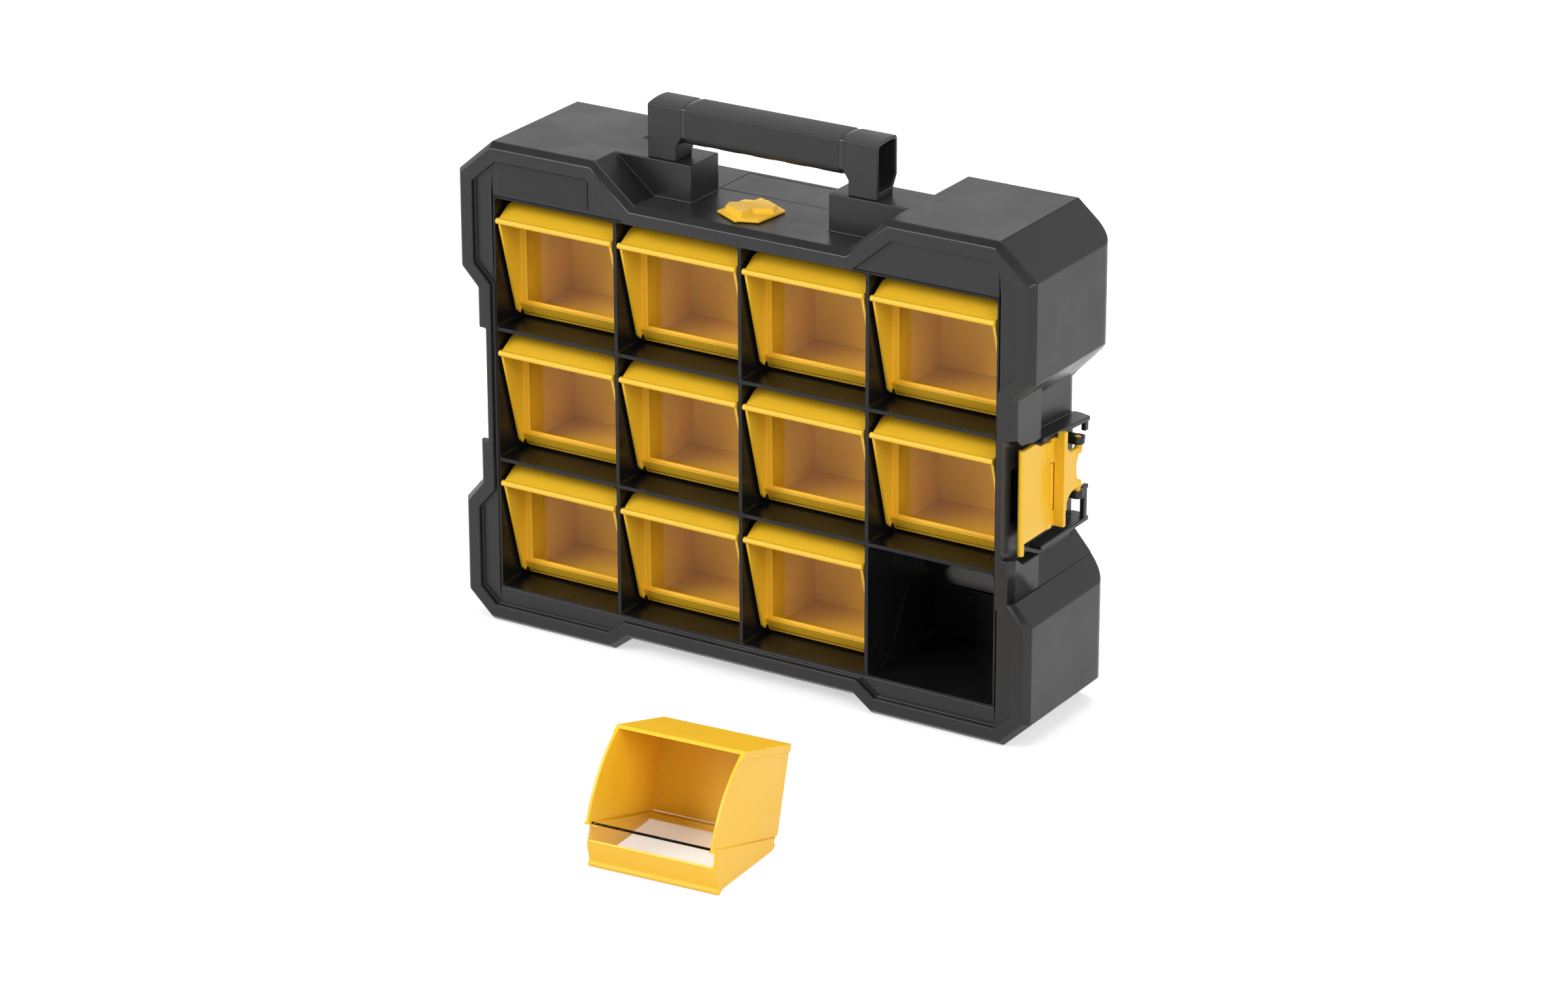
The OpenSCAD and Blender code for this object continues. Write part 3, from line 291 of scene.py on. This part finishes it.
looks = {
    "case_black": moulded("case_plastic", BLACK, 0.33, specular=0.4),
    "grid_black": moulded("grid_plastic", CRATE, 0.28, grain=2200.0, grain_depth=0.03, specular=0.3),
    "handle_grey": moulded("handle_plastic", HANDLE, 0.42, grain=1100.0, grain_depth=0.06, specular=0.42),
    "grip_soft": moulded("grip_rubber", HANDLE, 0.5, grain=800.0, grain_depth=0.08, specular=0.42),
    "plate_grey": moulded("plate_plastic", BLACK, 0.36, specular=0.35),
    "bin_yellow": yellow("bin_plastic", 0.36),
    "latch_yellow": yellow("latch_plastic", 0.36),
    "knob_yellow": yellow("knob_plastic", 0.4),
    "pane_clear": clear_plastic("pane_plastic", PANE, 0.02),
    "pale_plastic": moulded("rail_plastic", RAIL, 0.45, spread=0.04),
    "steel": steel_plate("zinc_steel", ZINC, 0.3),
}
ring_look = moulded("ring_plastic", BLACK, 0.16, grain_depth=0.01)


# Mesh helpers


def welded(node):
    """A node's form, with the corners merged that the import splits."""
    form = bmesh.new()
    form.from_mesh(nodes[node].data)
    bmesh.ops.remove_doubles(form, verts=form.verts, dist=NODE_WELD * MM)
    return form


def mesh_of(form, name):
    """Plain mesh from a form, without the normals that came with the import."""
    form.verts.index_update()
    points = [v.co.copy() for v in form.verts]
    faces = [[v.index for v in f.verts] for f in form.faces]
    form.free()
    mesh = bpy.data.meshes.new(name)
    mesh.from_pydata(points, [], faces)
    mesh.update()
    return mesh


def rounded(form, width):
    """The form with round edges; an edge stays sharp where its round would leave the surface."""
    form.verts.index_update()
    form.edges.index_update()
    form.verts.ensure_lookup_table()
    surface = BVHTree.FromBMesh(form)
    corners = KDTree(len(form.verts))
    for v in form.verts:
        corners.insert(v.co, v.index)
    corners.balance()
    sharp = {e.index for e in form.edges if e.is_manifold and e.calc_face_angle() > SHARP_EDGE}
    limit = STRAY_SHARE * width * MM
    for near in STRAY_CORNERS:
        trial = form.copy()
        trial.edges.ensure_lookup_table()
        bmesh.ops.bevel(
            trial,
            geom=[trial.edges[i] for i in sharp],
            offset=width * MM,
            segments=ROUND_STEPS,
            profile=0.5,
            affect="EDGES",
            clamp_overlap=False,
            loop_slide=False,
        )
        strays = [v.co.copy() for v in trial.verts if surface.find_nearest(v.co)[3] > limit]
        if not strays:
            form.free()
            return trial
        trial.free()
        for stray in strays:
            for _, index, _ in corners.find_n(stray, near):
                sharp -= {e.index for e in form.verts[index].link_edges}
    return form


def finished(name, form, node, look=None):
    """A piece on the body of a CAD node, in the material of that node's slot, with soft shading over its
    rounds.
    """
    piece = bpy.data.objects.new(name, mesh_of(form, name))
    scene.collection.objects.link(piece)
    piece.data.shade_smooth()
    piece.data.set_sharp_from_angle(angle=HARD_EDGE)
    piece.data.materials.append(look or looks[slot_of[node]])
    even = piece.modifiers.new("even", "WEIGHTED_NORMAL")
    even.keep_sharp = True
    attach(piece, body_of[node])
    return piece


def joined(forms):
    """One form from forms that touch or overlap."""
    objects = []
    for form in forms:
        obj = bpy.data.objects.new("join", mesh_of(form, "join"))
        scene.collection.objects.link(obj)
        objects.append(obj)
    for other in objects[1:]:
        step = objects[0].modifiers.new("join", "BOOLEAN")
        step.operation = "UNION"
        step.solver = "EXACT"
        step.object = other
    graph = bpy.context.evaluated_depsgraph_get()
    form = bmesh.new()
    form.from_mesh(objects[0].evaluated_get(graph).to_mesh())
    for obj in objects:
        bpy.data.objects.remove(obj)
    bmesh.ops.remove_doubles(form, verts=form.verts, dist=UNION_WELD * MM)
    return form


def add_prism(form, outline, depth):
    """Adds a closed prism: a ring of points, and the same ring moved by depth."""
    near = [form.verts.new(p) for p in outline]
    far = [form.verts.new(Vector(p) + depth) for p in outline]
    form.faces.new(near)
    form.faces.new(far[::-1])
    count = len(outline)
    for i in range(count):
        j = (i + 1) % count
        form.faces.new((near[j], near[i], far[i], far[j]))


# Pieces of the case, bins, handle and latch


def dress_nodes():
    """Gives each CAD node its slot's material, and a rounded piece where its edges are in view."""
    for name, obj in nodes.items():
        obj.data.materials.clear()
        obj.data.materials.append(looks[slot_of[name]])
        for start, width in EDGE_ROUNDS.items():
            if name.startswith(start):
                piece = finished(name + "_round", rounded(welded(name), width), name)
                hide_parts(name)


def make_case():
    """The mouldings of the case as the one shell that is seen, without seams."""
    members = ["case_top", "case_base", "catch_plate", "latch_bracket"]
    for pod in ("upper_pod", "lower_pod"):
        members += [pod + "_left", pod + "_right"]
    shell = joined([welded(m) for m in members])
    piece = finished("case_shell", rounded(shell, CASE_ROUND), members[0])
    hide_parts(*members)


# Details of the cells


def open_spans(walls, axis):
    """The open stretches between walls that follow each other along an axis."""
    boxes = [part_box(wall) for wall in walls]
    return [(before[1][axis], after[0][axis]) for before, after in zip(boxes, boxes[1:])]


def fillet_ring(x, z, side_x, side_z):
    """Section of a fillet in a cell's corner: two legs sunk in the walls, and a hollow arc."""
    radius = FILLET_RADIUS * MM
    sink = 0.3 * MM
    steps = 5
    ring = [(-sink, -sink), (radius, -sink)]
    for k in range(steps + 1):
        turn = k / steps * math.pi / 2
        ring.append((radius * (1 - math.sin(turn)), radius * (1 - math.cos(turn))))
    ring.append((-sink, radius))
    if side_x * side_z < 0:
        ring.reverse()
    return [(x + side_x * across, z + side_z * up) for across, up in ring]


def corner_fillets(cells, front, back):
    """Hollow rounds in the four corners of each cell."""
    form = bmesh.new()
    depth = Vector((0.0, back - front, 0.0))
    for x0, x1, z0, z1 in cells:
        for x, side_x in ((x0, 1), (x1, -1)):
            for z, side_z in ((z0, 1), (z1, -1)):
                ring = fillet_ring(x, z, side_x, side_z)
                add_prism(form, [(px, front, pz) for px, pz in ring], depth)
    return form


def side_ribs(cells, front):
    """Low slanted ribs on the side walls of each cell, above the pegs."""
    form = bmesh.new()
    sink = RIB_SINK * MM
    rise = RIB_HEIGHT * MM + sink
    low = Vector((0.0, RIB_START[0] * MM, RIB_START[1] * MM))
    high = Vector((0.0, RIB_END[0] * MM, RIB_END[1] * MM))
    along = (high - low).normalized()
    across = Vector((0.0, along.z, -along.y)) * (RIB_HALF * MM)
    for x0, x1, z0, _ in cells:
        peg = Vector((0.0, front + PEG_BACK * MM, z0 + PEG_HEIGHT * MM))
        start = peg + low
        end = peg + high
        corners = [start - across, end - across, end + across, start + across]
        for wall, out in ((x0 - sink, 1), (x1 + sink, -1)):
            ring = [Vector((wall, p.y, p.z)) for p in corners]
            if out < 0:
                ring.reverse()
            add_prism(form, ring, Vector((out * rise, 0.0, 0.0)))
    return form


def make_cell_details():
    """Fillets in the corners of the cells, and ribs on their side walls."""
    dividers = ["cell_divider_1", "cell_divider_2", "cell_divider_3"]
    spans_x = open_spans(["tray_left", *dividers, "tray_right"], 0)
    spans_z = open_spans(["tray_floor", "cell_shelf_2", "cell_shelf_1", "tray_roof"], 2)
    cells = [(x0, x1, z0, z1) for x0, x1 in spans_x for z0, z1 in spans_z]
    front, back = [corner.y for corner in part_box("cell_shelf_1")]
    finished("cell_fillets", corner_fillets(cells, front, back), dividers[0])
    finished("cell_ribs", side_ribs(cells, front), dividers[0])


# Details of the handle


def round_dip(edge, radius):
    """How far a rounded corner falls away from its flat face, at a distance from the side."""
    return radius - math.sqrt(max(0.0, radius**2 - max(0.0, radius - edge) ** 2))


def handle_outline(drop):
    """Section of the handle, drawn in by drop: flat sides, crowned top and round lower edges."""
    low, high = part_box("handle_grip")
    top_r = 3.5 * MM
    low_r = 7.0 * MM - drop
    crown = 60.0 * MM
    crown_share = 0.6
    steps = 48
    y0 = low.y + drop
    y1 = high.y - drop
    z0 = low.z + drop
    z1 = high.z - drop
    crown_y = low.y + crown_share * (high.y - low.y)
    upper = []
    lower = []
    for k in range(steps + 1):
        y = (y0 + y1) / 2 - (y1 - y0) / 2 * math.cos(math.pi * k / steps)
        edge = min(y - y0, y1 - y)
        arch = z1 - crown + math.sqrt(crown**2 - (y - crown_y) ** 2)
        upper.append((y, min(z1 - round_dip(edge, top_r), arch)))
        lower.append((y, z0 + round_dip(edge, low_r)))
    return lower + upper[::-1]


def make_grip_rings():
    """Glossy rings between the grip and the elbows of the handle."""
    grip_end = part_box("handle_grip")[1].x
    play = RING_PLAY * MM
    width = RING_GAP * MM - 2 * play
    for side, label in ((1, "right"), (-1, "left")):
        form = bmesh.new()
        start = side * (grip_end + play)
        ring = [Vector((start, y, z)) for y, z in handle_outline(RING_DROP * MM)]
        if side > 0:
            ring.reverse()
        add_prism(form, ring, Vector((side * width, 0.0, 0.0)))
        finished("grip_ring_" + label, rounded(form, RING_ROUND), "handle_bail", ring_look)


# Camera, floor and light


def make_camera():
    """The camera that took the photograph."""
    az = math.radians(AZIMUTH)
    el = math.radians(ELEVATION)
    back = Vector((math.sin(az) * math.cos(el), -math.cos(az) * math.cos(el), math.sin(el)))
    level = Vector((math.cos(az), math.sin(az), 0.0))
    right = Matrix.Rotation(math.radians(ROLL), 3, back) @ level
    up = back.cross(right)
    data = bpy.data.cameras.new("camera")
    data.sensor_fit = "HORIZONTAL"
    data.sensor_width = SENSOR
    data.lens = LENS
    data.clip_end = FAR_CLIP
    camera = bpy.data.objects.new("camera", data)
    basis = Matrix((right, up, back)).transposed()
    camera.matrix_world = Matrix.Translation(CAMERA_AT) @ basis.to_4x4()
    scene.collection.objects.link(camera)
    scene.camera = camera


def make_floor():
    """A pale floor that is seen as white and keeps the object's shadow."""
    size = 30.0
    glow_strength = 0.55
    mesh = bpy.data.meshes.new("floor")
    corners = [(-size, -size, 0), (size, -size, 0), (size, size, 0), (-size, size, 0)]
    mesh.from_pydata(corners, [], [(0, 1, 2, 3)])
    floor = bpy.data.objects.new("floor", mesh)
    scene.collection.objects.link(floor)
    tree = Tree("floor_paint")
    tree.join(Base_Color=tree.ramp(tree.noise(scale=3.0), FLOOR_LOW, FLOOR_HIGH))
    tree.set(Roughness=0.9, Specular_IOR_Level=0.1, Emission_Color=WHITE)
    glow = tree.nodes.new("ShaderNodeMath")
    glow.operation = "MULTIPLY"
    glow.inputs[1].default_value = glow_strength
    tree.link(seen_rays(tree.nodes, tree.links), glow.inputs[0])
    tree.join(Emission_Strength=glow.outputs["Value"])
    mesh.materials.append(tree.material)


def make_world():
    """A white sweep that turns grey high above, for the rays that are seen, and even light."""
    sweep_end = 0.38
    grey_start = 0.62
    sweep_strength = 1.0
    grey_strength = 0.4
    light_strength = 0.5
    world = bpy.data.worlds.new("studio")
    world.use_nodes = True
    scene.world = world
    tree_nodes = world.node_tree.nodes
    links = world.node_tree.links
    back = tree_nodes["Background"]
    back.inputs["Color"].default_value = WHITE
    place = tree_nodes.new("ShaderNodeTexCoord")
    parts = tree_nodes.new("ShaderNodeSeparateXYZ")
    links.new(place.outputs["Generated"], parts.inputs["Vector"])
    sweep = tree_nodes.new("ShaderNodeMapRange")
    sweep.interpolation_type = "SMOOTHSTEP"
    sweep.inputs["From Min"].default_value = sweep_end
    sweep.inputs["From Max"].default_value = grey_start
    sweep.inputs["To Min"].default_value = sweep_strength
    sweep.inputs["To Max"].default_value = grey_strength
    links.new(parts.outputs["Z"], sweep.inputs["Value"])
    level = tree_nodes.new("ShaderNodeMix")
    level.inputs["A"].default_value = light_strength
    links.new(seen_rays(tree_nodes, links), level.inputs["Factor"])
    links.new(sweep.outputs["Result"], level.inputs["B"])
    links.new(level.outputs["Result"], back.inputs["Strength"])


def area_light(name, at, size, power):
    """A soft rectangular lamp aimed at the object."""
    data = bpy.data.lights.new(name, "AREA")
    data.shape = "RECTANGLE"
    data.size = size[0]
    data.size_y = size[1]
    data.energy = power
    light = bpy.data.objects.new(name, data)
    light.location = at
    aim = Vector(LIT_POINT) - Vector(at)
    light.rotation_euler = aim.to_track_quat("-Z", "Y").to_euler()
    scene.collection.objects.link(light)


make_camera()
dress_nodes()
make_case()
make_cell_details()
make_grip_rings()
make_floor()
make_world()
area_light("key", at=(-1.6, -2.4, 2.2), size=(1.8, 1.4), power=70.0)
area_light("fill", at=(2.6, -1.2, 1.6), size=(1.6, 1.6), power=40.0)
area_light("top", at=(0.2, 0.9, 2.6), size=(2.2, 1.0), power=35.0)

scene.view_settings.view_transform = "Standard"
